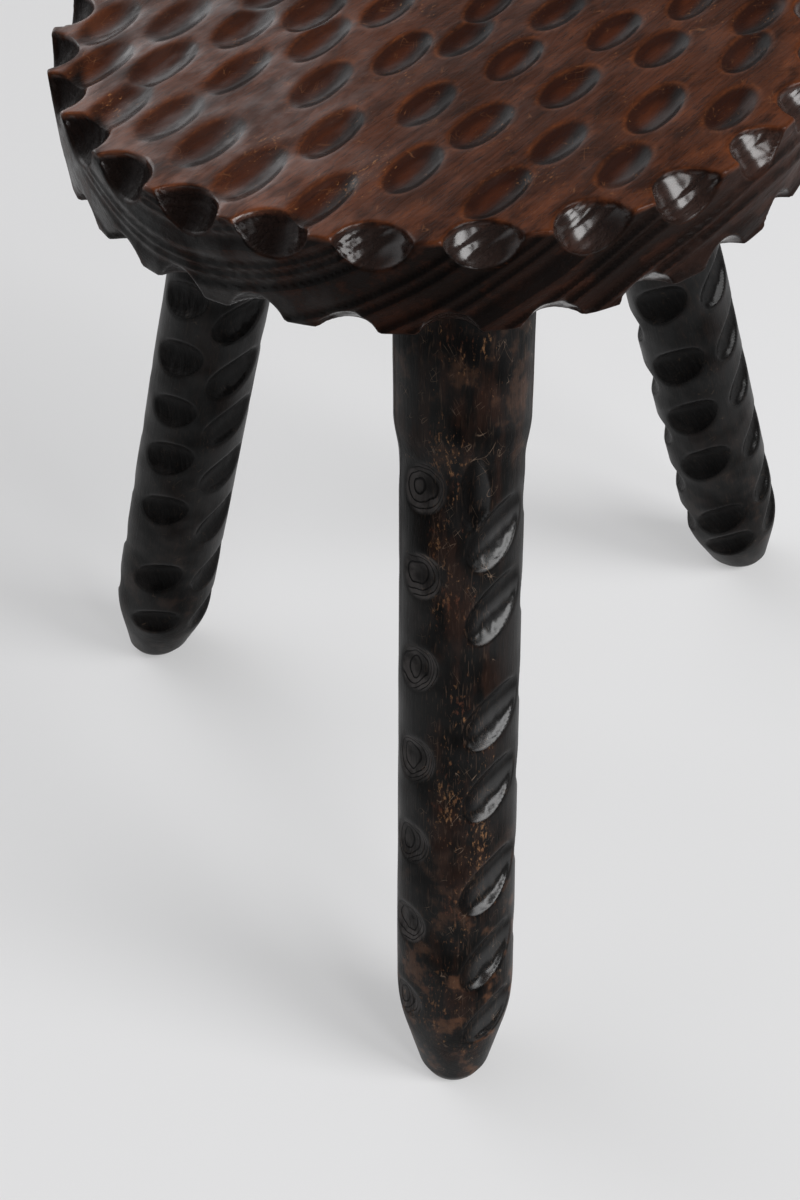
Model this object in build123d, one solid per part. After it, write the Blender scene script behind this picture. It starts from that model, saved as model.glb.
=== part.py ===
from build123d import *
from math import cos, radians, sin
import os

# Round three-legged stool of dark wood: a thick slab seat dimpled with gouge cuts, on three splayed
# round legs that stand in blind sockets. Millimetres, +Z up, the feet on Z = 0.

# ---------------------------------------------------------------- driving dimensions
seat_diameter = 300.0
seat_thickness = 38.5
stool_height = 424.0

# Legs
collar_diameter = 54.0         # plain top of the leg, under the seat
collar_length = 72.0
collar_slope = 12.0            # length of the step from the collar down to the shaft
shaft_diameter = 49.5          # under the collar
ankle_diameter = 54.0          # the shaft swells a little on its way down to the foot
foot_taper = 42.0              # length of the foot's taper
foot_diameter = 31.0           # where the taper would meet the floor
foot_chamfer = 4.5             # worn edge of the foot

# Joint of leg and seat: a round tenon glued into a blind socket
tenon_diameter = 30.0
tenon_length = 24.0
socket_clearance = 0.1         # all round the tenon
socket_end_gap = 1.0           # left above the tenon for glue

# Where each leg stands: its socket on the underside of the seat and its foot on the floor, as
# distances from the seat's axis and azimuths in degrees from +X.
legs = {
    "leg_front": dict(socket_reach=94.0, socket_azimuth=-85.0, foot_reach=204.0, foot_azimuth=-92.0),
    "leg_left": dict(socket_reach=82.0, socket_azimuth=156.5, foot_reach=192.0, foot_azimuth=156.7),
    "leg_right": dict(socket_reach=96.0, socket_azimuth=38.0, foot_reach=220.0, foot_azimuth=37.5),
}

# Leaf-shaped cuts down each leg, each a straight push of a wide gouge, slanting round the shaft. They
# stand in five rows that turn a little round the leg on their way down.
leaf_sweep = 17.5              # radius of the gouge's edge
leaf_tilt = 23.0               # slant of the push from straight across the leg

# Each row: turn of its first and last cut about the leg's axis, in degrees from the side that faces -Y,
# depth of its cuts, and their marks down the axis from the seat's underside.
leaf_rows = {
    "leg_front": ((-36, -58, 3.4, (91, 129, 172, 217, 261, 306, 352)),
                  (35, 35, 4.6, (109, 142, 193, 229, 278, 320, 360)),
                  (111, 111, 4.6, (96, 139, 182, 225, 268, 311, 350)),
                  (179, 179, 4.6, (118, 161, 204, 247, 290, 333)),
                  (244, 232, 4.0, (96, 139, 182, 225, 268, 311, 350))),
    "leg_left": ((-41, -10, 4.0, (114, 150, 185, 218, 257, 312, 352)),
                 (29, 66, 4.4, (119, 155, 189, 226, 266, 310, 350)),
                 (104, 136, 4.6, (96, 139, 182, 225, 268, 311, 350)),
                 (176, 206, 4.6, (118, 161, 204, 247, 290, 333)),
                 (236, 252, 4.2, (96, 139, 182, 225, 268, 311, 350))),
    "leg_right": ((-22, -9, 5.0, (107, 150, 197, 239, 280, 334, 362)),
                  (58, 73, 4.6, (110, 150, 191, 230, 277, 320, 352)),
                  (132, 146, 4.6, (96, 139, 182, 225, 268, 311, 350)),
                  (198, 212, 4.6, (118, 161, 204, 247, 290, 333)),
                  (266, 280, 4.6, (96, 139, 182, 225, 268, 311, 350))),
}

# Dimples of the seat's top, each a dip of the gouge a little askew of the grain
seat_grain = 52.0              # direction of the grain, from +X
dimple_skew = 5.0              # turn of a dimple's length from the grain
dimple_length = 37.0
dimple_width = 16.0
dimple_depth = 2.4

# Scallops across both corners of the slab, each a straight push of a wide gouge
top_scallop_radius = 15.5
top_scallop_bite = 13.0        # reach of a scallop along each face that it cuts into
bottom_scallop_radius = 13.0
bottom_scallop_bite = 9.5
top_scallops = 27
top_scallop_start = -83.6      # azimuth of one scallop, the others counted round from it
bottom_scallops = 28
bottom_scallop_start = -88.0
scallop_wander = 2.5           # how far the hand-set spacing strays from an even one, in degrees
scallop_crowding = -115.0      # azimuth about which the scallops crowd together, and across from it

# Centres of the dimples, row by row: (along the grain, across it) from the seat's axis. The rows
# are set like courses of brick, each half a dimple on from the last, by eye and not evenly.
dimple_rows = (
    ((-98, -86), (-116, -58), (-110, -37), (-114, -14), (-122, 12), (-121, 43)),
    ((-71, -106), (-83, -66), (-72, -38), (-62, -6), (-86, 19), (-88, 57), (-84, 90)),
    ((-54, -85), (-45, -59), (-36, -28), (-27, 5), (-51, 35), (-52, 60), (-46, 89), (-46, 116)),
    ((-22, -119), (-16, -93), (-15, -69), (-20, -44), (-3, -21), (-4, 18), (-8, 43), (-13, 71),
     (-9, 105), (6, 127)),
    ((24, -104), (25, -76), (26, -48), (35, -14), (22, 10), (31, 36), (30, 62), (29, 84), (44, 111)),
    ((63, -88), (64, -60), (65, -32), (74, -8), (64, 20), (71, 46), (68, 74), (71, 101)),
    ((102, -46), (104, -18), (105, 10), (104, 37), (104, 64)),
)

# ---------------------------------------------------------------- worked-out places
seat_radius = seat_diameter / 2
underside = stool_height - seat_thickness


def polar(reach, azimuth, height):
    """A point at a distance and azimuth from the seat's axis."""
    return Vector(reach * cos(radians(azimuth)), reach * sin(radians(azimuth)), height)


def leg_plane(leg):
    """Frame of a leg: origin on its axis at the seat's underside, Z pointing up along the axis."""
    shoulder = polar(leg["socket_reach"], leg["socket_azimuth"], underside)
    foot = polar(leg["foot_reach"], leg["foot_azimuth"], 0)
    axis = (shoulder - foot).normalized()
    sideways = axis.cross(Vector(0, 1, 0))
    return Plane(origin=shoulder, x_dir=sideways, z_dir=axis)


def leg_run(leg):
    """Length of a leg's axis from the seat's underside to the floor."""
    foot = polar(leg["foot_reach"], leg["foot_azimuth"], 0)
    return (polar(leg["socket_reach"], leg["socket_azimuth"], underside) - foot).length


# ---------------------------------------------------------------- seat
def make_dimple(along, across):
    """One dip: a round bowl of the dimple's width and depth, drawn out to its length near the grain's way."""
    grain = polar(1, seat_grain, 0)
    side = polar(1, seat_grain - 90, 0)
    spot = grain * along + side * across + Vector(0, 0, stool_height)
    bowl_radius = ((dimple_width / 2) ** 2 + dimple_depth ** 2) / (2 * dimple_depth)
    bowl = Pos(0, 0, bowl_radius - dimple_depth) * Sphere(bowl_radius)
    dip = scale(bowl, by=(dimple_length / dimple_width, 1, 1))
    return Plane(origin=spot, x_dir=polar(1, seat_grain + dimple_skew, 0), z_dir=(0, 0, 1)) * dip


def scallop_azimuths(count, start):
    """Where a ring of scallops stands, spaced by eye."""
    even = [start + 360 / count * turn for turn in range(count)]
    return [azimuth - scallop_wander * cos(radians(2 * (azimuth - scallop_crowding))) for azimuth in even]


def make_scallop(azimuth, face_height, upward, radius, bite):
    """One scallop across the slab's corner; upward is 1 on the top corner and -1 on the bottom one."""
    outward = polar(1, azimuth, 0)
    normal = (outward + Vector(0, 0, upward)).normalized()
    stroke = outward - Vector(0, 0, upward)
    corner = outward * seat_radius + Vector(0, 0, face_height)
    depth = bite * cos(radians(45))
    return Plane(origin=corner + normal * (radius - depth), z_dir=stroke) * Cylinder(radius, 4 * bite)


def top_rim():
    """The scallops round the slab's top corner."""
    return [make_scallop(azimuth, stool_height, 1, top_scallop_radius, top_scallop_bite)
            for azimuth in scallop_azimuths(top_scallops, top_scallop_start)]


def bottom_rim():
    """The scallops round the slab's bottom corner."""
    return [make_scallop(azimuth, underside, -1, bottom_scallop_radius, bottom_scallop_bite)
            for azimuth in scallop_azimuths(bottom_scallops, bottom_scallop_start)]


def make_socket(leg):
    """The blind hole that takes a leg's tenon."""
    depth = tenon_length + socket_end_gap
    return leg_plane(leg) * Cylinder(tenon_diameter / 2 + socket_clearance, 2 * depth)


def make_seat():
    """The slab with its dimples, scalloped rim and blind sockets."""
    slab = Cylinder(seat_radius, seat_thickness, align=(Align.CENTER, Align.CENTER, Align.MIN))
    cuts = [make_dimple(along, across) for row in dimple_rows for along, across in row]
    cuts += top_rim()
    cuts += bottom_rim()
    cuts += [make_socket(leg) for leg in legs.values()]
    return Pos(0, 0, underside) * slab - cuts


# ---------------------------------------------------------------- legs
def leg_body(leg):
    """Collar, shaft and tapered foot, turned with some length to spare, then cut to the seat and the floor."""
    run = leg_run(leg)
    collar, shaft, ankle, foot = collar_diameter / 2, shaft_diameter / 2, ankle_diameter / 2, foot_diameter / 2
    narrowing = (ankle - foot) / foot_taper
    outline = Polyline((0, collar), (collar, collar), (collar, -collar_length),
                       (shaft, -collar_length - collar_slope), (ankle, foot_taper - run),
                       (foot - narrowing * foot, -run - foot), (0, -run - foot), close=True)
    turned = leg_plane(leg) * revolve(Plane.XZ * make_face(outline), axis=Axis.Z)
    room = Box(4 * leg["foot_reach"], 4 * leg["foot_reach"], underside,
               align=(Align.CENTER, Align.CENTER, Align.MIN))
    cut = turned & room
    return chamfer(cut.faces().sort_by(Axis.Z)[0].edges(), foot_chamfer)


def shaft_radius_at(leg, mark):
    """Radius of the swelling shaft at a mark down its axis."""
    top, bottom = collar_length + collar_slope, leg_run(leg) - foot_taper
    return (shaft_diameter + (ankle_diameter - shaft_diameter) * (mark - top) / (bottom - top)) / 2


def make_leaf(leg, turn, mark, depth):
    """One cut across the shaft; the push runs up round the leg by the tilt."""
    plane = leg_plane(leg)
    axis = plane.z_dir
    facing = Vector(0, -1, axis.Y / axis.Z).normalized()
    normal = facing.rotate(Axis((0, 0, 0), axis), turn)
    stroke = (axis.cross(normal)).rotate(Axis((0, 0, 0), normal), leaf_tilt)
    spot = plane.origin - axis * mark + normal * (shaft_radius_at(leg, mark) + leaf_sweep - depth)
    return Plane(origin=spot, x_dir=normal, z_dir=stroke) * Cylinder(leaf_sweep, 2 * ankle_diameter)


def make_leaves(name):
    """The rows of cuts of one leg."""
    leaves = []
    for first, last, depth, marks in leaf_rows[name]:
        for mark in marks:
            turn = first + (last - first) * (mark - marks[0]) / (marks[-1] - marks[0])
            leaves.append(make_leaf(legs[name], turn, mark, depth))
    return leaves


def make_leg(name):
    """A leg with its cuts and its tenon, which runs some way down inside the collar to be one piece with it."""
    leg = legs[name]
    reach_down = tenon_length + collar_length / 2
    tenon = Pos(0, 0, tenon_length) * Cylinder(tenon_diameter / 2, reach_down,
                                               align=(Align.CENTER, Align.CENTER, Align.MAX))
    return leg_body(leg) - make_leaves(name) + leg_plane(leg) * tenon


# ---------------------------------------------------------------- the stool, centred over the floor
pieces = {"seat": make_seat()}
for name in legs:
    pieces[name] = make_leg(name)
extent = Compound(list(pieces.values())).bounding_box()
centred = Pos(-extent.center().X, -extent.center().Y, 0)

os.makedirs("parts", exist_ok=True)
for name, piece in pieces.items():
    export_step(centred * piece, f"parts/{name}.step")
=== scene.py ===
import random
from math import cos, radians, sin, sqrt, tau

import bpy
from mathutils import Matrix, Vector


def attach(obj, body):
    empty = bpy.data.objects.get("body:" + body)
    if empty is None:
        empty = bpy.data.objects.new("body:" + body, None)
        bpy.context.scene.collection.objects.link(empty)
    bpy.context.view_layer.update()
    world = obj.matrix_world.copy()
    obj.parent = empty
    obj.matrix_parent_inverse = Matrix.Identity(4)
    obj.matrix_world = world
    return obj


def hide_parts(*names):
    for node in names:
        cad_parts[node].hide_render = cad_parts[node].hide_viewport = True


# A dimpled three-legged stool of dark wood: a thick slab seat carved all over with one gouge, and three
# splayed round legs with rows of leaf-shaped gouge cuts. Metres, +Z up, in the row frame.

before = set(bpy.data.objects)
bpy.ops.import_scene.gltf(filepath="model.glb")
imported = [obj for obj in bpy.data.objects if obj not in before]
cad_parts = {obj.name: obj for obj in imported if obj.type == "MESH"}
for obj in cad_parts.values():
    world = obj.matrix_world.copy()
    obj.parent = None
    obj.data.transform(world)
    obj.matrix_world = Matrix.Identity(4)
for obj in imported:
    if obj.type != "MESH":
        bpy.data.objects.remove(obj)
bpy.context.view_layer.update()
MM = 0.001

# ---------------------------------------------------------------- sizes of the stool
seat_axis = Vector((0.704, 33.037, 0)) * MM
seat_radius = 150 * MM
seat_thickness = 38.5 * MM
stool_height = 424 * MM
underside = stool_height - seat_thickness
corner_radius = 1.6 * MM       # the slab's worn corner
scallop_reach = 22 * MM        # how far in from the rim the underside is carved

collar_radius = 27 * MM
collar_length = 67 * MM
collar_slope = 18 * MM
shaft_radius = 24.75 * MM      # under the collar
ankle_radius = 27 * MM         # the shaft swells a little on its way down to the foot
ankle_rounding = 3.5 * MM
foot_taper = 42 * MM
foot_radius = 15.5 * MM
foot_rounding = 6 * MM
tenon_radius = 15 * MM
tenon_length = 24 * MM
tenon_chamfer = 1.5 * MM

# Socket on the underside and foot on the floor, as (distance in mm, azimuth in degrees) from the seat's axis.
leg_places = {
    "leg_front": dict(socket=(94, -85), foot=(204, -92)),
    "leg_left": dict(socket=(82, 156.5), foot=(192, 156.7)),
    "leg_right": dict(socket=(96, 38), foot=(220, 37.5)),
}

# ---------------------------------------------------------------- gouge cuts
# Lengths in mm and turns in degrees. A cut's sweep and run are the curve of its floor across and along the
# stroke, and worn is how far its edge is rounded.
seat_grain = 52                # direction of the seat's grain from +X
dimple = dict(length=38, width=16.5, depth=3.1, skew=5, worn=0.8)
softening = dict(start=0.1, skew=4, depth=0.25, worn=2.6)   # what the more worn left side adds to a dimple
top_scallops = dict(count=27, start=-83.6, sweep=15.5, run=40, bite=13, worn=1.6)
bottom_scallops = dict(count=28, start=-88.0, sweep=13, run=200, bite=9.5, worn=3.0)
scallop_wander = 2.5           # how far the scallops stray from even places
scallop_crowding = -115        # where they draw together

# Centres of the dimples, in mm along the grain and across it from the seat's axis.
dimple_rows = (
    ((-98, -86), (-116, -58), (-110, -37), (-114, -14), (-122, 12), (-121, 43)),
    ((-71, -106), (-83, -66), (-72, -38), (-62, -6), (-86, 19), (-88, 57), (-84, 90)),
    ((-54, -85), (-45, -59), (-36, -28), (-27, 5), (-51, 35), (-52, 60), (-46, 89), (-46, 116)),
    ((-22, -119), (-16, -93), (-15, -69), (-20, -44), (-3, -21), (-4, 18), (-8, 43), (-13, 71),
     (-9, 105), (6, 127)),
    ((24, -104), (25, -76), (26, -48), (35, -14), (22, 10), (31, 36), (30, 62), (29, 84), (44, 111)),
    ((63, -88), (64, -60), (65, -32), (74, -8), (64, 20), (71, 46), (68, 74), (71, 101)),
    ((102, -46), (104, -18), (105, 10), (104, 37), (104, 64)),
)

# Each row of cuts down a leg: turn of its first and last cut about the leg's axis, in degrees from the side
# that faces -Y, depth of its cuts, and their marks down the axis from the seat's underside, in mm.
leaf = dict(sweep=17.5, tilt=23)
steep_leaf = dict(sweep=17.5, tilt=31)      # the front leg's right-hand row
eye_leaf = dict(sweep=24.0, tilt=10)        # the front leg's left-hand row
leaf_worn = 1.0 * MM
straight_push = 10.0           # run of a stroke with no curve, in metres
slip = dict(turn=10, mark=93, length=32, width=19, depth=2.6)   # a small cut of the front leg, begun and left
leaf_rows = {
    "leg_front": ((-38, -60, 3.0, (91, 129, 172, 217, 261, 306, 352)),
                  (35, 35, 4.6, (109, 142, 193, 229, 278, 320, 360)),
                  (111, 111, 4.6, (96, 139, 182, 225, 268, 311, 350)),
                  (179, 179, 4.6, (118, 161, 204, 247, 290, 333)),
                  (244, 232, 4.0, (96, 139, 182, 225, 268, 311, 350))),
    "leg_left": ((-41, -10, 4.0, (114, 150, 185, 218, 257, 312, 352)),
                 (29, 66, 4.4, (119, 155, 189, 226, 266, 310, 350)),
                 (104, 136, 4.6, (96, 139, 182, 225, 268, 311, 350)),
                 (176, 206, 4.6, (118, 161, 204, 247, 290, 333)),
                 (236, 252, 4.2, (96, 139, 182, 225, 268, 311, 350))),
    "leg_right": ((-22, -9, 5.0, (107, 150, 197, 239, 280, 334, 362)),
                  (58, 73, 4.6, (110, 150, 191, 230, 277, 320, 352)),
                  (132, 146, 4.6, (96, 139, 182, 225, 268, 311, 350)),
                  (198, 212, 4.6, (118, 161, 204, 247, 290, 333)),
                  (266, 280, 4.6, (96, 139, 182, 225, 268, 311, 350))),
}

# ---------------------------------------------------------------- wood
seat_pith = -90 * MM           # the seat's pith lies this far over its top
terrace_azimuth = -70          # the side of the rim whose year rings have worn into terraces
hollow_span = 1 / 28           # metres from one hollow of a hand-worked blank to the next
ridge_width = 4.2 * MM         # between the ridges of torn grain
torn_grain = 0.9 * MM
true_foot = 5 * MM             # hollows and torn grain fade out over this height above the floor
front_handling = 1.0           # how much of the finish hands have rubbed off the front leg
back_handling = 0.15


def polar(reach, azimuth, height=0.0):
    """A point at a distance and azimuth from the seat's axis."""
    return seat_axis + Vector((reach * cos(radians(azimuth)), reach * sin(radians(azimuth)), height))


def heading(azimuth):
    """The level direction at an azimuth."""
    return polar(1, azimuth) - seat_axis


# ---------------------------------------------------------------- blanks
def zip_rings(rings):
    """A closed skin over rings whose counts of points may differ; a ring of one point closes an end."""
    points = [point for ring in rings for point in ring]
    faces = []
    start = 0
    for lower, upper in zip(rings, rings[1:]):
        count, other = len(lower), len(upper)
        first, second = start, start + count
        i = j = 0
        while i < (count if count > 1 else 0) or j < (other if other > 1 else 0):
            upper_done = other == 1 or j >= other
            if count > 1 and i < count and (upper_done or (i + 1) / count <= (j + 1) / other):
                faces.append((first + i % count, first + (i + 1) % count, second + j % other))
                i += 1
            else:
                faces.append((first + i % count, second + (j + 1) % other, second + j % other))
                j += 1
        start += count
    return points, faces


def ring(centre, radius, count, height):
    return [centre + Vector((radius * cos(tau * k / count), radius * sin(tau * k / count), height))
            for k in range(count)]


def mesh_object(name, points, faces):
    mesh = bpy.data.meshes.new(name)
    mesh.from_pydata([tuple(point) for point in points], [], faces)
    mesh.update()
    thing = bpy.data.objects.new(name, mesh)
    bpy.context.collection.objects.link(thing)
    return thing


def seat_blank(step=1.25 * MM, coarse=2.6 * MM):
    """The slab before carving, with a fine skin where the gouge works and a coarse one under it."""
    rings = [[seat_axis + Vector((0, 0, underside))]]
    reach = coarse
    while reach < seat_radius - scallop_reach:
        rings.append(ring(seat_axis, reach, 6 * round(reach / coarse), underside))
        reach += coarse
    flat = seat_radius - corner_radius
    around = 6 * round(seat_radius / step)
    while reach < flat:
        rings.append(ring(seat_axis, reach, 6 * round(reach / step), underside))
        reach += step
    for turn in (-90, -60, -30, 0):
        rings.append(ring(seat_axis, flat + corner_radius * cos(radians(turn)), around,
                          underside + corner_radius * (1 + sin(radians(turn)))))
    rows = round((seat_thickness - 2 * corner_radius) / step)
    for row in range(1, rows):
        height = underside + corner_radius + (seat_thickness - 2 * corner_radius) * row / rows
        rings.append(ring(seat_axis, seat_radius, around, height))
    for turn in (0, 30, 60, 90):
        rings.append(ring(seat_axis, flat + corner_radius * cos(radians(turn)), around,
                          stool_height - corner_radius * (1 - sin(radians(turn)))))
    for number in range(round(seat_radius / step) - 2, 0, -1):
        rings.append(ring(seat_axis, number * step, 6 * number, stool_height))
    rings.append([seat_axis + Vector((0, 0, stool_height))])
    return mesh_object("seat_carved", *zip_rings(rings))


def leg_frame(place):
    """Origin on the leg's axis at the seat's underside, and the axis pointing up."""
    shoulder = polar(place["socket"][0] * MM, place["socket"][1], underside)
    foot = polar(place["foot"][0] * MM, place["foot"][1])
    return shoulder, (shoulder - foot).normalized()


def leg_profile(down, run):
    """Radius of a leg at a distance down its axis."""
    if down < collar_length:
        return collar_radius
    if down < collar_length + collar_slope:
        share = (down - collar_length) / collar_slope
        return collar_radius + (shaft_radius - collar_radius) * share * share * (3 - 2 * share)
    top, bottom = collar_length + collar_slope, run - foot_taper
    shaft = shaft_radius + (ankle_radius - shaft_radius) * (down - top) / (bottom - top)
    taper = ankle_radius + (foot_radius - ankle_radius) * (down - bottom) / foot_taper
    nearness = max(ankle_rounding - abs(shaft - taper), 0) / ankle_rounding
    return min(shaft, taper) - nearness * nearness * ankle_rounding / 4


def leg_blank(name, place, step=1.15 * MM, around=136):
    """A turned leg before carving, as level slices from the floor to the seat, with its tenon above."""
    origin, axis = leg_frame(place)
    run = underside / axis.z
    side = axis.cross(Vector((0, 1, 0))).normalized()
    front = axis.cross(side)

    def slice_at(height):
        points = []
        for k in range(around):
            out = side * cos(tau * k / around) + front * sin(tau * k / around)
            down = (underside - height) / axis.z
            for _ in range(3):      # the point's own place down the axis settles in three rounds
                radius = leg_profile(down, run)
                if height < foot_rounding:
                    radius -= foot_rounding - sqrt(foot_rounding ** 2 - (foot_rounding - height) ** 2)
                down = (underside - height + radius * out.z) / axis.z
            points.append(origin - axis * down + out * radius)
        return points

    def disc_at(up, radius):
        return [origin + axis * up + (side * cos(tau * k / around) + front * sin(tau * k / around)) * radius
                for k in range(around)]

    sole = [0, 0.3 * MM, 1 * MM, 2.2 * MM]
    slices = round((underside - foot_rounding) / step)
    shaft = [foot_rounding + (underside - foot_rounding) * k / slices for k in range(slices + 1)]
    rings = [[origin - axis * run]] + [slice_at(height) for height in sole + shaft]
    rings += [disc_at(0, tenon_radius), disc_at(tenon_length - tenon_chamfer, tenon_radius),
              disc_at(tenon_length, tenon_radius - tenon_chamfer), [origin + axis * tenon_length]]
    return mesh_object(name + "_carved", *zip_rings(rings))


# ---------------------------------------------------------------- cuts
class Cuts:
    """Places of a set of gouge cuts: a cloud of points, each with its stroke and the tool's curves."""

    def __init__(self):
        self.places = []
        self.facts = {fact: [] for fact in ("normal", "stroke", "sweep", "run", "depth", "worn")}

    def add(self, spot, *facts):
        """A cut at this spot, with its facts in the order of the table."""
        self.places.append(spot)
        for values, value in zip(self.facts.values(), facts):
            values.append(value)

    def cloud(self, name):
        thing = mesh_object(name, self.places, [])
        for fact, values in self.facts.items():
            if isinstance(values[0], Vector):
                layer = thing.data.attributes.new(fact, "FLOAT_VECTOR", "POINT")
                layer.data.foreach_set("vector", [part for value in values for part in value])
            else:
                thing.data.attributes.new(fact, "FLOAT", "POINT").data.foreach_set("value", values)
        return thing


def bowl_radius(span, depth):
    """Radius of the arc that has this span and depth."""
    return ((span / 2) ** 2 + depth ** 2) / (2 * depth)


def add_dimple(cuts, along, across, hand):
    """One dimple of the seat's top, no two quite alike, and softer towards the seat's left side."""
    grain, side = heading(seat_grain), heading(seat_grain - 90)
    length = dimple["length"] * hand.uniform(0.94, 1.08)
    width = dimple["width"] * hand.uniform(0.92, 1.08)
    depth = dimple["depth"] * hand.uniform(0.85, 1.15)
    spot = seat_axis + (grain * along + side * across) * MM + Vector((0, 0, stool_height))
    softness = min(max(-(spot - seat_axis).x / seat_radius + softening["start"], 0), 1)
    skew = dimple["skew"] + softening["skew"] * softness + hand.uniform(-3, 3)
    cuts.add(spot, Vector((0, 0, 1)), Matrix.Rotation(radians(skew), 3, "Z") @ grain,
             bowl_radius(width, depth) * MM, bowl_radius(length, depth) * MM,
             depth * (1 + softening["depth"] * softness) * MM,
             (dimple["worn"] + softening["worn"] * softness) * MM)


def add_scallops(cuts, scallops, height, upward, hand):
    """Slanting bites right round the rim, over its top edge where upward is 1 and under it where -1."""
    lift = Vector((0, 0, upward))
    for number in range(scallops["count"]):
        even = scallops["start"] + 360 / scallops["count"] * number
        azimuth = even - scallop_wander * cos(radians(2 * (even - scallop_crowding)))
        outward = heading(azimuth)
        depth = scallops["bite"] * cos(radians(45)) * hand.uniform(0.94, 1.06)
        bulge = depth * depth / (2 * scallops["run"])
        cuts.add(polar(seat_radius, azimuth, height), (outward + lift).normalized(),
                 (outward - lift).normalized(), scallops["sweep"] * MM, scallops["run"] * MM,
                 (depth + bulge) * MM, scallops["worn"] * MM)


def seat_cuts():
    cuts = Cuts()
    hand = random.Random(7)
    for row in dimple_rows:
        for along, across in row:
            add_dimple(cuts, along, across, hand)
    add_scallops(cuts, top_scallops, stool_height, 1, hand)
    add_scallops(cuts, bottom_scallops, underside, -1, hand)
    return cuts.cloud("seat_cuts")


def leg_cuts(name):
    cuts = Cuts()
    hand = random.Random(name)
    origin, axis = leg_frame(leg_places[name])
    front = Vector((0, -1, axis.y / axis.z)).normalized()
    plain_shaft = collar_length + collar_slope
    for number, (first, last, depth, marks) in enumerate(leaf_rows[name]):
        tool = (eye_leaf, steep_leaf)[number] if name == "leg_front" and number < 2 else leaf
        for mark in marks:
            turn = first + (last - first) * (mark - marks[0]) / (marks[-1] - marks[0])
            normal = Matrix.Rotation(radians(turn), 3, axis) @ front
            tilt = radians(tool["tilt"] + hand.uniform(-4, 4))
            stroke = axis.cross(normal) * cos(tilt) + axis * sin(tilt)
            skin = normal * leg_profile(max(mark * MM, plain_shaft), underside / axis.z)
            cuts.add(origin - axis * mark * MM + skin, normal, stroke, tool["sweep"] * MM, straight_push,
                     depth * hand.uniform(0.92, 1.06) * MM, leaf_worn)
    if name == "leg_front":
        normal = Matrix.Rotation(radians(slip["turn"]), 3, axis) @ front
        cuts.add(origin - axis * slip["mark"] * MM + normal * shaft_radius, normal, axis,
                 bowl_radius(slip["width"], slip["depth"]) * MM,
                 bowl_radius(slip["length"], slip["depth"]) * MM, slip["depth"] * MM, leaf_worn)
    return cuts.cloud(name + "_cuts")


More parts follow.
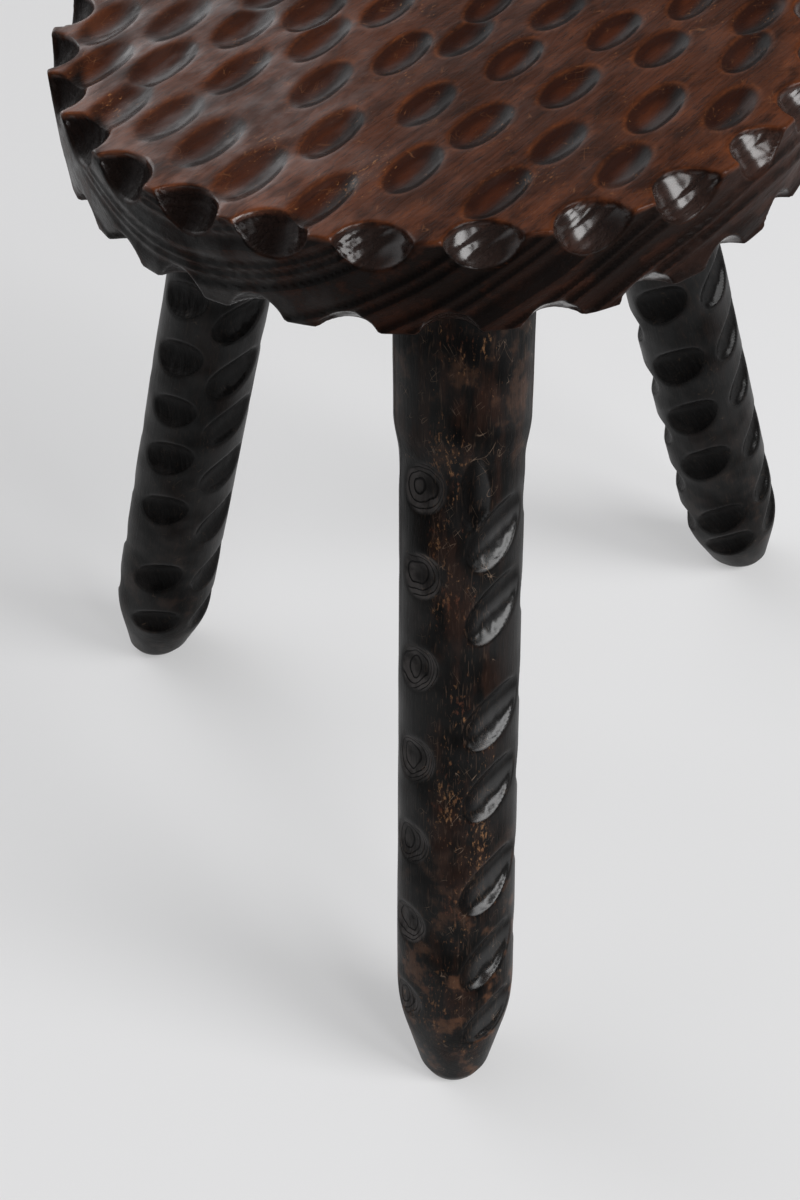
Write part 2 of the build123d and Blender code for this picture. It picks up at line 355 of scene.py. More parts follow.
# ---------------------------------------------------------------- node helpers
class Nodes:
    """Adds nodes to one tree. Most calls give an output for other nodes to take."""

    def __init__(self, tree):
        self.tree = tree

    def feed(self, node, inputs):
        """Sets each input to a value, or links it to another node's output."""
        for name, value in inputs.items():
            if isinstance(value, bpy.types.NodeSocket):
                self.tree.links.new(value, node.inputs[name])
            else:
                node.inputs[name].default_value = value

    def add(self, kind, inputs=None, **settings):
        node = self.tree.nodes.new(kind)
        for name, value in settings.items():
            setattr(node, name, value)
        self.feed(node, inputs or {})
        return node

    def calc(self, operation, *values, clamp=False):
        inputs = dict(enumerate(values))
        return self.add("ShaderNodeMath", inputs, operation=operation, use_clamp=clamp).outputs[0]

    def times(self, first, *others, clamp=False):
        """A product, held between 0 and 1 if clamp is set."""
        for other in others[:-1]:
            first = self.calc("MULTIPLY", first, other)
        return self.calc("MULTIPLY", first, others[-1], clamp=clamp)

    def plus(self, first, second, clamp=False):
        return self.calc("ADD", first, second, clamp=clamp)

    def minus(self, first, second, clamp=False):
        return self.calc("SUBTRACT", first, second, clamp=clamp)

    def over(self, first, second):
        return self.calc("DIVIDE", first, second)

    def absolute(self, value):
        return self.calc("ABSOLUTE", value)

    def greater(self, first, second):
        return self.calc("MAXIMUM", first, second)

    def slant(self, first, second):
        """The long side of a right-angled corner."""
        return self.calc("SQRT", self.plus(self.times(first, first), self.times(second, second)))

    def vector(self, operation, *values):
        node = self.add("ShaderNodeVectorMath", dict(enumerate(values)), operation=operation)
        return node.outputs["Value" if operation in ("DOT_PRODUCT", "LENGTH") else "Vector"]

    def dot(self, first, second):
        return self.vector("DOT_PRODUCT", first, second)

    def scaled(self, direction, amount):
        inputs = {0: direction, "Scale": amount}
        return self.add("ShaderNodeVectorMath", inputs, operation="SCALE").outputs["Vector"]

    def stretched(self, place, along, across=1.0):
        """A place for a pattern that is drawn out along the grain, X."""
        return self.vector("MULTIPLY", place, (along, across, across))

    def parts(self, value):
        return self.add("ShaderNodeSeparateXYZ", {0: value}).outputs

    def joined(self, x, y, z=0.0):
        return self.add("ShaderNodeCombineXYZ", {0: x, 1: y, 2: z}).outputs[0]

    def ramp(self, value, low, high):
        """Goes from 0 to 1 as the value goes from low to high, which may be the lower of the two."""
        inputs = {"Value": value, "From Min": low, "From Max": high}
        return self.add("ShaderNodeMapRange", inputs, interpolation_type="SMOOTHSTEP").outputs["Result"]

    def noise(self, place, size, detail=2.0, roughness=0.5):
        """A noise whose features are about this long."""
        scale = self.over(1.0, size) if isinstance(size, bpy.types.NodeSocket) else 1 / size
        inputs = {"Vector": place, "Scale": scale, "Detail": detail, "Roughness": roughness}
        return self.add("ShaderNodeTexNoise", inputs).outputs["Fac"]

    def blend(self, amount, first, second):
        """Colour that goes from the first to the second; 6 and 7 are the node's own colour inputs."""
        return self.add("ShaderNodeMix", {0: amount, 6: first, 7: second}, data_type="RGBA").outputs[2]

    def layered(self, colour, layers):
        """A colour under layers of (mask, strength, colour), each laid over the ones before it."""
        for mask, strength, over in layers:
            colour = self.blend(mask if strength == 1 else self.times(mask, strength), colour, over)
        return colour

    def attribute(self, name, output="Fac"):
        return self.add("ShaderNodeAttribute", attribute_name=name).outputs[output]

    def effect(self, group, inputs):
        """A shared effect with this material's own values."""
        return self.add("ShaderNodeGroup", inputs, node_tree=group).outputs

    def raised(self, height, distance, under=None):
        """A bump of this height, laid over another one."""
        inputs = {"Height": height, "Distance": distance, "Strength": 1.0}
        if under is not None:
            inputs["Normal"] = under
        return self.add("ShaderNodeBump", inputs).outputs[0]

    def stored(self, geometry, name, value, kind="FLOAT", **inputs):
        """Geometry with a value kept on each of its points."""
        inputs.update(Geometry=geometry, Name=name, Value=value)
        return self.add("GeometryNodeStoreNamedAttribute", inputs, data_type=kind, domain="POINT").outputs[0]

    def kept(self, name, kind="FLOAT"):
        """A value that an earlier node, or the mesh itself, kept on its points."""
        inputs = {"Name": name}
        return self.add("GeometryNodeInputNamedAttribute", inputs, data_type=kind).outputs["Attribute"]

    def shifted(self, geometry, offset):
        return self.add("GeometryNodeSetPosition", {"Geometry": geometry, "Offset": offset}).outputs[0]


# ---------------------------------------------------------------- carving
def cut_in_turn(nodes, blank, cuts, place, edge_band):
    """A blank with every cut of a cloud made in it, one after another. Each point keeps how deep it was cut,
    how near it is to a cut's edge, and where it lies in its cut: across the stroke, along it, and a chance
    number for the cut."""
    points = nodes.add("GeometryNodeAttributeDomainSize", {"Geometry": cuts}, component="MESH")
    start = nodes.add("GeometryNodeRepeatInput")
    end = nodes.add("GeometryNodeRepeatOutput")
    start.pair_with_output(end)
    nodes.feed(start, {"Iterations": points.outputs["Point Count"], "Geometry": blank})
    turn = start.outputs["Iteration"]

    def of_cut(value, kind):
        inputs = {"Geometry": cuts, "Value": value, "Index": turn}
        return nodes.add("GeometryNodeSampleIndex", inputs, data_type=kind, domain="POINT").outputs["Value"]

    def arc(radius, reach):
        """Rise of an arc at a distance from its middle; past its end the arc stands at its full height."""
        squared = nodes.minus(nodes.times(radius, radius), nodes.times(reach, reach))
        return nodes.minus(radius, nodes.calc("SQRT", nodes.greater(squared, 0.0)))

    def fact(name, kind="FLOAT"):
        return of_cut(nodes.kept(name, kind), kind)

    normal, stroke = fact("normal", "FLOAT_VECTOR"), fact("stroke", "FLOAT_VECTOR")
    sweep, run, depth, worn = fact("sweep"), fact("run"), fact("depth"), fact("worn")
    here = nodes.vector("SUBTRACT", place, of_cut(place, "FLOAT_VECTOR"))
    up = nodes.dot(here, normal)
    along = nodes.dot(here, stroke)
    across = nodes.dot(here, nodes.vector("CROSS_PRODUCT", normal, stroke))
    floor_of_cut = nodes.minus(nodes.plus(arc(sweep, across), arc(run, along)), depth)
    inside = nodes.times(nodes.calc("LESS_THAN", nodes.absolute(across), sweep),
                         nodes.calc("LESS_THAN", nodes.absolute(along), run))
    lowered = nodes.calc("SMOOTH_MIN", up, floor_of_cut, worn)
    shift = nodes.times(nodes.calc("MINIMUM", nodes.minus(lowered, up), 0.0), inside)

    gap = nodes.minus(up, floor_of_cut)
    nearness = nodes.minus(1.0, nodes.over(nodes.absolute(gap), edge_band), clamp=True)
    was_cut = nodes.times(nodes.calc("GREATER_THAN", gap, 0.0), inside)
    kept_edge = nodes.times(nodes.kept("cut_edge"), nodes.minus(1.0, was_cut))
    edge = nodes.greater(kept_edge, nodes.times(nearness, inside))
    chance = nodes.add("FunctionNodeRandomValue", {"ID": turn, "Seed": 3}, data_type="FLOAT").outputs[1]
    lie = nodes.joined(across, along, chance)
    marked = nodes.stored(start.outputs["Geometry"], "cut_edge", edge)
    marked = nodes.stored(marked, "in_cut", lie, "FLOAT_VECTOR", Selection=was_cut)
    marked = nodes.stored(marked, "cut_depth", nodes.minus(nodes.kept("cut_depth"), shift))
    nodes.feed(end, {"Geometry": nodes.shifted(marked, nodes.scaled(normal, shift))})
    return end.outputs["Geometry"]


def worn_terraces(nodes, wood_place, facing, given, drift_span=1 / 14, drift=9 * MM, year_span=16 * MM,
                  year_change=22 * MM, rising=0.66, falling=1 / 3, patch_span=1 / 22, least=0.45):
    """Terraces on the edge face, where the soft wood of each broad year ring has worn back: the rings counted
    from the pith, how much of the terraces shows, and how deep they are."""
    wood = nodes.parts(wood_place)
    upright = nodes.minus(1.0, nodes.absolute(nodes.parts(facing)["Z"]))
    radius = nodes.slant(wood["Y"], nodes.minus(wood["Z"], given["Pith depth"]))
    inputs = {"W": radius, "Scale": 1 / year_span, "Detail": 0.0}
    years = nodes.add("ShaderNodeTexNoise", inputs, noise_dimensions="1D").outputs["Fac"]
    wavering = nodes.plus(radius, nodes.times(nodes.noise(wood_place, drift_span, 1.0), drift))
    wavering = nodes.plus(wavering, nodes.times(years, year_change))
    ring_count = nodes.over(wavering, given["Terrace width"])
    in_ring = nodes.calc("FRACT", ring_count)
    fall = nodes.times(nodes.minus(1.0, in_ring), 1 / falling)
    rise = nodes.calc("MINIMUM", nodes.over(in_ring, rising), fall)
    worn_side = nodes.times(nodes.dot(facing, heading(terrace_azimuth)), 1.5, clamp=True)
    patch = nodes.noise(wood_place, patch_span, 0.0)
    weight = nodes.times(nodes.times(upright, worn_side), nodes.plus(patch, least))
    return ring_count, weight, nodes.times(nodes.times(rise, given["Terrace relief"]), weight)


def gouge_tree():
    """Carves a blank with a cloud's cuts, tears and wears its grain, and keeps what the finishes need."""
    tree = bpy.data.node_groups.new("gouge carving", "GeometryNodeTree")
    tree.is_modifier = True
    for label, kind, value in (
            ("Blank", "Geometry", None), ("Cuts", "Object", None), ("Edge band", "Float", 1.2 * MM),
            ("Unevenness", "Float", 0.6 * MM), ("Top of cuts", "Float", 1.0), ("Grain start", "Vector", None),
            ("Grain", "Vector", (1, 0, 0)), ("Grain side", "Vector", (0, 1, 0)),
            ("Pith depth", "Float", seat_pith), ("Terrace width", "Float", 8 * MM),
            ("Terrace relief", "Float", 0.0), ("Torn grain", "Float", 0.4 * MM), ("Handling", "Float", 0.0),
            ("Material", "Material", None)):
        socket = tree.interface.new_socket(label, in_out="INPUT", socket_type="NodeSocket" + kind)
        if value is not None:
            socket.default_value = value
    tree.interface.new_socket("Carved", in_out="OUTPUT", socket_type="NodeSocketGeometry")
    nodes = Nodes(tree)
    given = nodes.add("NodeGroupInput").outputs
    cuts = nodes.add("GeometryNodeObjectInfo", {"Object": given["Cuts"]}).outputs["Geometry"]
    place = nodes.add("GeometryNodeInputPosition").outputs[0]
    facing = nodes.add("GeometryNodeInputNormal").outputs[0]

    # A hand-worked blank isn't quite true: it is hollowed a little here and there, but not where a leg meets
    # the seat or the floor.
    height = nodes.parts(place)["Z"]
    off_floor = nodes.times(height, 1 / true_foot, clamp=True)
    free = nodes.times(nodes.calc("LESS_THAN", height, given["Top of cuts"]), off_floor)
    sink = nodes.times(nodes.times(nodes.noise(place, hollow_span, 1.0), given["Unevenness"]), free)
    uneven = nodes.shifted(given["Blank"], nodes.scaled(facing, nodes.times(sink, -1.0)))
    carved = cut_in_turn(nodes, uneven, cuts, place, given["Edge band"])

    # Where each point lies in the wood: along the grain, to its side, and across both.
    offset = nodes.vector("SUBTRACT", place, given["Grain start"])
    depthways = nodes.vector("CROSS_PRODUCT", given["Grain"], given["Grain side"])
    wood_place = nodes.joined(nodes.dot(offset, given["Grain"]), nodes.dot(offset, given["Grain side"]),
                              nodes.dot(offset, depthways))

    # The gouge lifts the grain a little in every cut, which leaves fine ridges along it.
    ridges = nodes.noise(nodes.stretched(wood_place, 0.22), ridge_width, 1.0)
    well_cut = nodes.add("ShaderNodeMapRange", {"Value": nodes.kept("cut_depth"), "From Min": 0.5 * MM,
                                                "From Max": 2 * MM}).outputs[0]
    torn = nodes.times(ridges, well_cut, given["Torn grain"], off_floor)

    ring_count, weight, terrace = worn_terraces(nodes, wood_place, facing, given)
    marked = nodes.stored(carved, "terrace", nodes.joined(ring_count, weight), "FLOAT_VECTOR")
    worn = nodes.shifted(marked, nodes.scaled(facing, nodes.times(nodes.plus(terrace, torn), -1.0)))
    placed = nodes.stored(worn, "wood_place", wood_place, "FLOAT_VECTOR")
    placed = nodes.stored(placed, "handling", given["Handling"])
    solid = nodes.add("GeometryNodeRealizeInstances", {"Geometry": placed}).outputs[0]
    dressed = nodes.add("GeometryNodeSetMaterial", {"Geometry": solid, "Material": given["Material"]})
    nodes.add("NodeGroupOutput", {"Carved": dressed.outputs[0]})
    return tree


def carve(blank, cuts, tree, inputs):
    """The blank with its cuts, as a plain mesh; the cloud of cuts is used up."""
    modifier = blank.modifiers.new("carving", "NODES")
    modifier.node_group = tree
    wanted = dict(inputs, Cuts=cuts)
    for item in tree.interface.items_tree:
        if item.item_type == "SOCKET" and item.in_out == "INPUT" and item.name in wanted:
            value = wanted[item.name]
            modifier[item.identifier] = tuple(value) if isinstance(value, Vector) else value
    bpy.context.view_layer.update()
    evaluated = blank.evaluated_get(bpy.context.evaluated_depsgraph_get())
    carved = bpy.data.meshes.new_from_object(evaluated)
    blank.modifiers.clear()
    blank.data = carved
    bpy.data.objects.remove(cuts)
    carved.shade_smooth()
    return blank


# ---------------------------------------------------------------- wood effects
def plain(red, green, blue):
    """A colour given as display values from 0 to 255."""
    return tuple((value / 255 / 12.92 if value < 11 else ((value / 255 + 0.055) / 1.055) ** 2.4)
                 for value in (red, green, blue)) + (1.0,)


def shader_group(name, inputs, outputs):
    """A new node group for shaders, with named inputs at their usual values and named number outputs."""
    tree = bpy.data.node_groups.new(name, "ShaderNodeTree")
    for label, value in inputs.items():
        kind = "NodeSocketVector" if isinstance(value, tuple) else "NodeSocketFloat"
        tree.interface.new_socket(label, in_out="INPUT", socket_type=kind).default_value = value
    for label in outputs:
        tree.interface.new_socket(label, in_out="OUTPUT", socket_type="NodeSocketFloat")
    nodes = Nodes(tree)
    return nodes, nodes.add("NodeGroupInput").outputs


def growth_rings():
    """Year rings round the pith, as the dark late wood that ends each one."""
    inputs = {"Place": (0.0, 0.0, 0.0), "Pith": (0.0, 0.0, 0.0), "Ring width": 1.6 * MM, "Waver": 1.5 * MM}
    nodes, given = shader_group("growth rings", inputs, ("Late wood",))
    offset = nodes.parts(nodes.vector("SUBTRACT", given["Place"], given["Pith"]))
    drift = nodes.noise(nodes.stretched(given["Place"], 0.25), 16 * MM)
    wavering = nodes.plus(nodes.slant(offset["Y"], offset["Z"]), nodes.times(drift, given["Waver"]))
    in_ring = nodes.calc("FRACT", nodes.over(wavering, given["Ring width"]))
    nodes.add("NodeGroupOutput", {"Late wood": nodes.calc("POWER", in_ring, 5.0)})
    return nodes.tree


def grain_streaks():
    """Long streaks of the grain, and the short dark pores that lie along it."""
    inputs = {"Place": (0.0, 0.0, 0.0), "Streak width": 3 * MM, "Pore width": 0.5 * MM}
    nodes, given = shader_group("grain streaks", inputs, ("Streaks", "Pores"))
    streaks = nodes.noise(nodes.stretched(given["Place"], 0.05), given["Streak width"], 3.0, 0.6)
    pores = nodes.noise(nodes.stretched(given["Place"], 0.12), given["Pore width"], 1.0)
    nodes.add("NodeGroupOutput", {"Streaks": nodes.ramp(streaks, 0.3, 0.7),
                                  "Pores": nodes.ramp(pores, 0.58, 0.72)})
    return nodes.tree


def worn_lips():
    """Edges of cuts that hands and years have rubbed back to the lighter wood, in broken lines."""
    inputs = {"Place": (0.0, 0.0, 0.0), "Edge": 0.0, "Cover": 0.6}
    nodes, given = shader_group("worn lips", inputs, ("Worn",))
    broken = nodes.noise(given["Place"], 9 * MM, 3.0, 0.6)
    reach = nodes.plus(nodes.minus(broken, 1.0), given["Cover"])
    thin = nodes.calc("POWER", given["Edge"], 3.5)
    nodes.add("NodeGroupOutput", {"Worn": nodes.times(thin, nodes.ramp(reach, 0.0, 0.35), clamp=True)})
    return nodes.tree


def rubbed_flecks():
    """Small flecks where the dark finish has been knocked off, gathered in patches, with fine scratches."""
    inputs = {"Place": (0.0, 0.0, 0.0), "Fleck size": 4 * MM, "Cover": 0.5}
    nodes, given = shader_group("rubbed flecks", inputs, ("Flecks", "Scratches"))
    patches = nodes.noise(nodes.stretched(given["Place"], 0.6), 26 * MM)
    fine = nodes.noise(nodes.stretched(given["Place"], 0.45), given["Fleck size"], 5.0, 0.7)
    level = nodes.plus(nodes.plus(fine, nodes.times(patches, 0.6)), nodes.times(given["Cover"], 0.35))
    marks = []
    for turn, across in ((0.5, 1.0), (-0.8, 0.7)):
        inputs = {"Vector": given["Place"], "Rotation": (0, 0, turn)}
        turned = nodes.add("ShaderNodeMapping", inputs).outputs[0]
        line = nodes.noise(nodes.stretched(turned, 0.06, across), 2.4 * MM, 0.0)
        marks.append(nodes.ramp(nodes.absolute(nodes.minus(line, 0.5)), 0.012, 0.0))
    here = nodes.ramp(nodes.noise(given["Place"], 7 * MM, 1.0), 0.55, 0.7)
    scratches = nodes.times(nodes.greater(*marks), here)
    nodes.add("NodeGroupOutput", {"Flecks": nodes.ramp(level, 1.14, 1.26), "Scratches": scratches})
    return nodes.tree


def new_finish(name):
    """A material with its shader: the rest of its nodes are wired to the shader's inputs."""
    material = bpy.data.materials.new(name)
    material.use_nodes = True
    return material, Nodes(material.node_tree), material.node_tree.nodes["Principled BSDF"]


rings, streaks, lips, flecks = growth_rings(), grain_streaks(), worn_lips(), rubbed_flecks()


def make_seat_wood():
    """Old dark hardwood, rubbed to a red-brown sheen on top and left nearly black on the edge."""
    material, nodes, shader = new_finish("seat_wood")
    place = nodes.attribute("wood_place", "Vector")
    edge, depth = nodes.attribute("cut_edge"), nodes.attribute("cut_depth")
    terrace = nodes.parts(nodes.attribute("terrace", "Vector"))
    # Painted shadow on the falling face of each worn terrace step.
    step_shade = nodes.times(nodes.ramp(nodes.calc("FRACT", terrace["X"]), 0.55, 0.85),
                         nodes.ramp(terrace["Y"], 0.1, 0.6))
    under_top = nodes.parts(place)["Z"]
    reach = nodes.vector("LENGTH", nodes.vector("MULTIPLY", place, (1, 1, 0)))
    rightward = nodes.dot(place, (cos(radians(seat_grain)), sin(radians(seat_grain)), 0))
    right_side = nodes.ramp(rightward, -70 * MM, 0)      # the right, where only the scallops shine
    on_rim = nodes.ramp(reach, 133.5 * MM, 138.5 * MM)
    on_rim = nodes.times(on_rim, nodes.ramp(under_top, 0.4 * MM, 3.0 * MM))
    dark_face = nodes.greater(on_rim, nodes.ramp(under_top, 20 * MM, 26 * MM))
    in_scallop = nodes.times(on_rim, nodes.ramp(depth, 0.6 * MM, 2.5 * MM))

    year = nodes.effect(rings, {"Place": place, "Pith": (0, 0, seat_pith), "Ring width": 1.7 * MM,
                                "Waver": 9 * MM})
    grain = nodes.effect(streaks, {"Place": place, "Streak width": 3.5 * MM, "Pore width": 0.55 * MM})
    worn = nodes.effect(lips, {"Place": place, "Edge": edge, "Cover": 0.65})["Worn"]
    rubbed = nodes.effect(flecks, {"Place": place, "Fleck size": 1.1 * MM, "Cover": 0.5})
    patches = nodes.noise(nodes.stretched(place, 0.5), 60 * MM, 3.0)
    mottle = nodes.noise(nodes.stretched(place, 0.45), 13 * MM, 4.0, 0.65)

    # Painted shade and light in a dimple: painted shade on its walls and in its hollow, darkest up its far
    # wall, and a little painted red light on its near half.
    across_cut = nodes.parts(nodes.attribute("in_cut", "Vector"))["X"]
    in_dimple = nodes.times(nodes.ramp(depth, 0.3 * MM, 1.0 * MM), nodes.minus(1.0, on_rim))
    far_half = nodes.times(in_dimple, nodes.ramp(across_cut, 1.8 * MM, -1.8 * MM))
    near_half = nodes.minus(in_dimple, far_half)
    hollow = nodes.times(in_dimple, nodes.minus(0.42, nodes.times(right_side, 0.3)))
    wall = nodes.times(nodes.ramp(depth, 0.2 * MM, 0.9 * MM), nodes.ramp(depth, 2.9 * MM, 1.6 * MM))
    wall = nodes.times(wall, nodes.plus(0.45, nodes.times(right_side, 0.4)))
    lip = nodes.times(worn, nodes.plus(0.3, nodes.times(right_side, 0.1)))
    near_edge = nodes.times(nodes.ramp(reach, 124 * MM, 138 * MM), nodes.ramp(mottle, 0.6, 0.42))
    top = nodes.blend(nodes.ramp(patches, 0.35, 0.65), plain(66, 34, 19), plain(96, 51, 29))
    top = nodes.layered(top, (
        # painted shade: the top is darker to the right
        (right_side, 0.3, plain(38, 19, 11)),
        (grain["Streaks"], 0.4, plain(32, 17, 11)),
        (year["Late wood"], 0.4, plain(24, 14, 10)),
        (nodes.ramp(mottle, 0.5, 0.68), 0.6, plain(26, 15, 11)),
        (nodes.ramp(mottle, 0.46, 0.34), 0.22, plain(122, 66, 34)),
        (grain["Pores"], 0.55, plain(20, 11, 8)),
        (nodes.ramp(depth, 1.2 * MM, 2.8 * MM), 0.45, plain(68, 33, 19)),
        # painted shade on the dimples' walls, hollows and far halves; painted red light on their near halves
        (wall, 1, plain(11, 8, 8)),
        (hollow, 1, plain(27, 16, 12)),
        (far_half, 0.72, plain(17, 13, 12)),
        (near_half, 0.14, plain(84, 38, 21)),
        (lip, 1, plain(130, 74, 42)),
        (near_edge, 0.2, plain(132, 70, 35)),
        (rubbed["Flecks"], 0.55, plain(160, 108, 66)),
        (rubbed["Scratches"], 0.25, plain(150, 100, 64))))

    # The edge face is nearly black, and browner to the right. To the left it is hatched, with darker
    # scallops.
    fibre = nodes.noise(nodes.vector("MULTIPLY", place, (1, 1, 0.12)), 1.3 * MM, 1.0)
    hatching = nodes.minus(0.4, nodes.times(right_side, 0.4))
    dark_left_scallops = nodes.times(in_scallop, nodes.minus(0.75, nodes.times(right_side, 0.75)))
    browner = nodes.times(nodes.ramp(rightward, 50 * MM, 130 * MM), nodes.ramp(mottle, 0.6, 0.4))
    rim = nodes.blend(nodes.ramp(patches, 0.4, 0.7), plain(18, 10, 7), plain(44, 25, 18))
    rim = nodes.layered(rim, (
        (nodes.ramp(mottle, 0.5, 0.65), 0.6, plain(52, 29, 20)),
        (nodes.ramp(fibre, 0.5, 0.68), hatching, plain(6, 5, 5)),
        (year["Late wood"], 0.35, plain(5, 4, 4)),
        # painted shadow under the terrace steps
        (step_shade, 0.75, plain(2, 2, 2)),
        (in_scallop, 0.35, plain(46, 26, 19)),
        (dark_left_scallops, 1, plain(14, 10, 9)),
        (browner, 0.55, plain(60, 38, 30)),
        (worn, 0.35, plain(84, 48, 30))))

    # The polish lies in patches on top, strong in the right-hand scallops and thin on the edge face.
    rubbing = nodes.noise(place, 30 * MM, 3.0)
    roughness = nodes.plus(nodes.times(rubbing, 0.25), nodes.times(grain["Streaks"], 0.1))
    shiny_side = nodes.minus(0.75, nodes.times(right_side, 0.55))
    polish = nodes.times(nodes.plus(0.35, nodes.ramp(rubbing, 0.3, 0.7)), shiny_side)
    polish = nodes.plus(polish, nodes.times(far_half, 0.17))
    bare_face = nodes.times(dark_face, nodes.plus(0.55, nodes.times(right_side, 0.35)))
    bare_face = nodes.greater(bare_face, nodes.times(dark_left_scallops, 1.2))
    polish = nodes.times(polish, nodes.minus(1.0, bare_face))
    polish = nodes.times(polish, nodes.minus(1.1, nodes.times(nodes.ramp(mottle, 0.4, 0.6), 0.6)))
    polished_scallop = nodes.times(in_scallop, nodes.times(right_side, 0.9))

    fibres = nodes.minus(nodes.times(grain["Streaks"], 0.6), nodes.times(grain["Pores"], 0.7))
    relief = nodes.minus(fibres, nodes.times(year["Late wood"], 0.5))
    relief = nodes.times(relief, nodes.plus(1.0, nodes.times(in_scallop, 3.5)))
    nodes.feed(shader, {
        "Base Color": nodes.blend(dark_face, top, rim),
        "Roughness": nodes.plus(roughness, 0.3),
        "Specular IOR Level": 0.04,
        "Coat Weight": nodes.plus(polish, polished_scallop, clamp=True),
        "Coat Roughness": 0.2,
        "Normal": nodes.raised(relief, 0.12 * MM, nodes.raised(mottle, 0.9 * MM))})
    return material


def make_leg_wood():
    """The same wood stained nearly black, rubbed through in flecks down the front and on the collars."""
    material, nodes, shader = new_finish("leg_wood")
    place, in_cut = nodes.attribute("wood_place", "Vector"), nodes.attribute("in_cut", "Vector")
    edge, depth = nodes.attribute("cut_edge"), nodes.attribute("cut_depth")
    handling = nodes.attribute("handling")
    wood = nodes.parts(place)
    cut_away = nodes.ramp(depth, 0.15 * MM, 0.7 * MM)
    whole = nodes.minus(1.0, nodes.times(cut_away, 0.9))
    left_hand = nodes.ramp(wood["Y"], 4 * MM, 12 * MM)
    right_hand = nodes.ramp(wood["Y"], -2 * MM, -12 * MM)
    in_front = nodes.ramp(nodes.over(wood["Z"], nodes.slant(wood["Y"], wood["Z"])), -0.6, -0.97)
    low_down = nodes.ramp(wood["X"], 230 * MM, 360 * MM)
    on_collar = nodes.ramp(wood["X"], 90 * MM, 70 * MM)
    rubbed_zone = nodes.greater(in_front, nodes.times(nodes.greater(low_down, on_collar), 0.6))
    rubbed_zone = nodes.times(rubbed_zone, handling)

    year = nodes.effect(rings, {"Place": place, "Pith": (0, 2 * MM, 3 * MM), "Ring width": 0.95 * MM,
                                "Waver": 4.5 * MM})
    grain = nodes.effect(streaks, {"Place": place, "Streak width": 2.2 * MM, "Pore width": 0.5 * MM})
    scored = nodes.effect(streaks, {"Place": place, "Streak width": 9 * MM, "Pore width": 0.8 * MM})
    worn = nodes.effect(lips, {"Place": place, "Edge": edge, "Cover": 0.5})["Worn"]
    rubbed = nodes.effect(flecks, {"Place": place, "Fleck size": 1.5 * MM,
                                   "Cover": nodes.times(rubbed_zone, 0.74)})

    thin_stain = nodes.noise(nodes.stretched(place, 0.3), 12 * MM, 4.0, 0.6)
    brown = nodes.times(nodes.ramp(thin_stain, 0.46, 0.62), whole)
    brown = nodes.times(brown, nodes.plus(0.1, nodes.times(rubbed_zone, 0.9)))

    # Painted sheen in the left-hand cuts of the front leg, thinner in their middles, shows their rings like
    # eyes.
    eye_cuts = nodes.times(nodes.times(cut_away, left_hand), handling)
    core = nodes.ramp(depth, 1.4 * MM, 2.8 * MM)
    eye_sheen = nodes.times(eye_cuts, nodes.minus(0.9, nodes.times(core, 0.6)))
    cloudy = nodes.plus(0.4, nodes.ramp(nodes.noise(place, 8 * MM, 3.0), 0.35, 0.65))
    ring_line = nodes.ramp(year["Late wood"], 0.12, 0.5)

    # Under the stain the wood is tan, bare in small flecks and, low down, in blotches.
    blotch = nodes.ramp(nodes.noise(place, 12 * MM, 4.0, 0.6), 0.52, 0.66)
    blotch = nodes.times(blotch, nodes.times(whole, handling))
    blotch = nodes.times(blotch, nodes.greater(low_down, nodes.times(on_collar, 0.35)))
    bare = nodes.times(rubbed["Flecks"], whole)
    paler = nodes.ramp(nodes.noise(place, 11 * MM), 0.4, 0.6)
    tan = nodes.blend(paler, plain(92, 56, 40), plain(150, 110, 76))
    stain = nodes.blend(grain["Streaks"], plain(13, 11, 10), plain(5, 5, 5))
    stain = nodes.layered(stain, (
        (brown, 0.6, plain(46, 29, 22)),
        (cut_away, 0.8, plain(6, 5, 5)),
        # painted sheen in the left-hand cuts
        (nodes.times(eye_sheen, cloudy, clamp=True), 1, plain(70, 67, 66)),
        (ring_line, nodes.plus(0.2, nodes.times(eye_cuts, 0.75)), plain(3, 3, 3)),
        (worn, 0.35, plain(70, 52, 42)),
        (blotch, 0.6, plain(98, 66, 46)),
        (bare, 0.6, tan),
        (rubbed["Scratches"], nodes.plus(0.1, nodes.times(rubbed_zone, 0.65)), plain(128, 108, 92)),
        (nodes.times(scored["Pores"], scored["Streaks"], nodes.plus(0.15, rubbed_zone)), 0.4,
         plain(86, 68, 56))))

    # The right-hand cuts of the front leg shine in their lower halves, where the tool has left its chatter.
    rubbing = nodes.noise(place, 24 * MM, 3.0)
    roughness = nodes.plus(nodes.times(rubbing, 0.3), nodes.times(bare, 0.2))
    lower_half = nodes.ramp(nodes.parts(in_cut)["X"], 2 * MM, -3 * MM)
    shine = nodes.times(nodes.times(cut_away, right_hand), nodes.plus(0.15, nodes.times(lower_half, 0.85)))
    skin = nodes.times(nodes.ramp(rubbing, 0.3, 0.7), nodes.minus(0.26, nodes.times(cut_away, 0.22)))
    chatter = nodes.noise(nodes.vector("MULTIPLY", in_cut, (0.2, 1, 40)), 2.2 * MM)
    chatter = nodes.times(chatter, cut_away, lower_half)
    relief = nodes.plus(nodes.times(grain["Streaks"], 0.35), nodes.times(chatter, 4.5))
    deep_line = nodes.times(ring_line, nodes.plus(0.3, nodes.times(eye_cuts, 1.4)))
    relief = nodes.minus(relief, nodes.plus(deep_line, nodes.times(grain["Pores"], 0.4)))
    nodes.feed(shader, {
        "Base Color": stain,
        "Roughness": nodes.plus(roughness, 0.3),
        "Specular IOR Level": 0.04,
        "Coat Weight": nodes.plus(nodes.times(shine, handling), skin, clamp=True),
        "Coat Roughness": 0.18,
        "Normal": nodes.raised(relief, 0.14 * MM)})
    return material


seat_wood, leg_wood = make_seat_wood(), make_leg_wood()

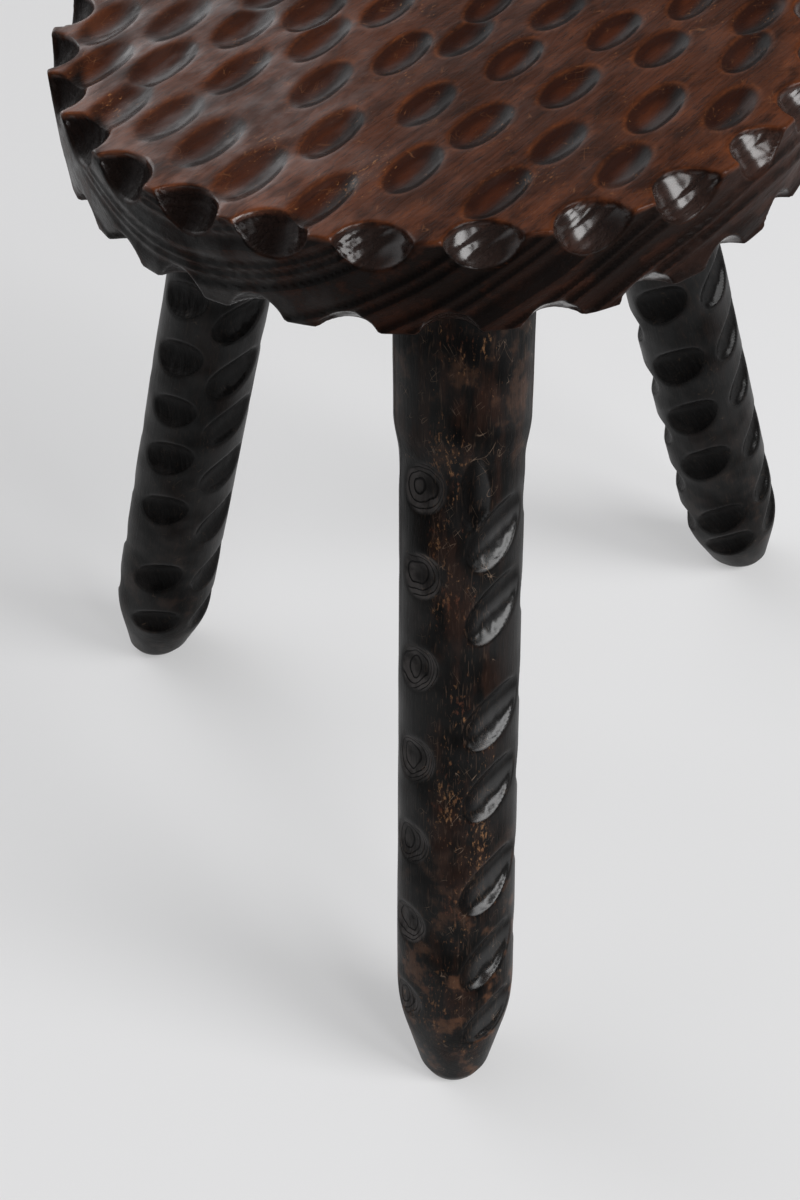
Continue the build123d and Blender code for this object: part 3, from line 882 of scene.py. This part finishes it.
# ---------------------------------------------------------------- the stool
carving = gouge_tree()
seat = carve(seat_blank(), seat_cuts(), carving, {
    "Material": seat_wood, "Grain start": seat_axis + Vector((0, 0, stool_height)),
    "Grain": heading(seat_grain), "Grain side": heading(seat_grain - 90), "Terrace width": 6.5 * MM,
    "Terrace relief": 1.7 * MM, "Torn grain": torn_grain})
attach(seat, "root")
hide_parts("seat")
for name, place in leg_places.items():
    shoulder, axis = leg_frame(place)
    leg = carve(leg_blank(name, place), leg_cuts(name), carving, {
        "Material": leg_wood, "Handling": front_handling if name == "leg_front" else back_handling,
        "Torn grain": torn_grain, "Top of cuts": underside - 1 * MM, "Grain start": shoulder, "Grain": -axis,
        "Grain side": axis.cross(Vector((0, 1, 0))).normalized()})
    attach(leg, "root")
    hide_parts(name)


# ---------------------------------------------------------------- floor, light and camera
def pale_floor(reach=30.0, glow=0.335, far_glow=0.3, far=(3.0, 8.0)):
    """A pale sweep whose own glow, for the camera and reflections alone, keeps the shadows faint and grows
    far away. From below it isn't seen."""
    corners = [Vector((x * reach, y * reach, 0)) for x, y in ((-1, -1), (1, -1), (1, 1), (-1, 1))]
    floor = mesh_object("floor", corners, [(0, 1, 2, 3)])
    material, nodes, shader = new_finish("studio floor")
    path = nodes.add("ShaderNodeLightPath").outputs
    reflected = nodes.greater(path["Is Glossy Ray"], path["Is Transmission Ray"])
    seen = nodes.greater(path["Is Camera Ray"], reflected)
    distance = nodes.vector("LENGTH", nodes.add("ShaderNodeTexCoord").outputs["Object"])
    glow = nodes.times(seen, nodes.plus(glow, nodes.times(nodes.ramp(distance, *far), far_glow)))
    backfacing = nodes.add("ShaderNodeNewGeometry").outputs["Backfacing"]
    nodes.feed(shader, {
        "Base Color": (0.41, 0.41, 0.415, 1),
        "Roughness": 0.9,
        "Emission Color": nodes.blend(glow, (0, 0, 0, 1), (1, 1, 1, 1)),
        "Emission Strength": 1.0,
        "Alpha": nodes.minus(1.0, nodes.times(backfacing, path["Is Camera Ray"]))})
    floor.data.materials.append(material)


def soft_light(name, spot, width, height, power, aim=(0, 0, 0.3)):
    lamp = bpy.data.lights.new(name, "AREA")
    lamp.shape = "RECTANGLE"
    lamp.size = width
    lamp.size_y = height
    lamp.energy = power
    thing = bpy.data.objects.new(name, lamp)
    thing.location = spot
    thing.rotation_euler = (Vector(aim) - Vector(spot)).to_track_quat("-Z", "Y").to_euler()
    bpy.context.collection.objects.link(thing)


def studio_surroundings(bright, dim, bright_side, backdrop=(0.72, 0.72, 0.73, 1)):
    """Surroundings that light the stool from one side and are dim elsewhere, and look pale themselves."""
    world = bpy.data.worlds.new("studio")
    world.use_nodes = True
    nodes = Nodes(world.node_tree)
    direction = nodes.add("ShaderNodeTexCoord").outputs["Generated"]
    facing = nodes.dot(direction, tuple(Vector(bright_side).normalized()))
    towards = nodes.ramp(facing, 0.35, 0.95)
    light = nodes.blend(towards, (dim, dim, dim, 1), (bright, bright, bright * 1.02, 1))
    seen = nodes.add("ShaderNodeLightPath").outputs["Is Camera Ray"]
    nodes.feed(world.node_tree.nodes["Background"], {"Color": nodes.blend(seen, light, backdrop)})
    bpy.context.scene.world = world


pale_floor()
soft_light("back left window", (-1.8, 1.4, 1.45), width=1.4, height=1.4, power=14)
soft_light("right key", (2.0, -0.85, 1.6), width=1.1, height=1.9, power=62)
soft_light("front strip", (1.15, -1.65, 1.5), width=0.45, height=1.4, power=12)
studio_surroundings(bright=1.15, dim=0.13, bright_side=(-0.72, 0.60, 0.3))

lens = bpy.data.cameras.new("camera")
lens.lens = 52.9
lens.sensor_width = 36
lens.clip_start = 0.05
camera = bpy.data.objects.new("camera", lens)
stand = seat_axis + Vector((0, -634.5, 754.7)) * MM
right, upward = Vector((0.9990, -0.0013, -0.0440)), Vector((0.0316, 0.7164, 0.6970))
right.normalize()
backward = right.cross(upward).normalized()
upward = backward.cross(right)
turned = Matrix((right, upward, backward)).transposed().to_4x4()
camera.matrix_world = Matrix.Translation(stand) @ turned
bpy.context.collection.objects.link(camera)
bpy.context.scene.camera = camera
bpy.context.scene.view_settings.view_transform = "Standard"
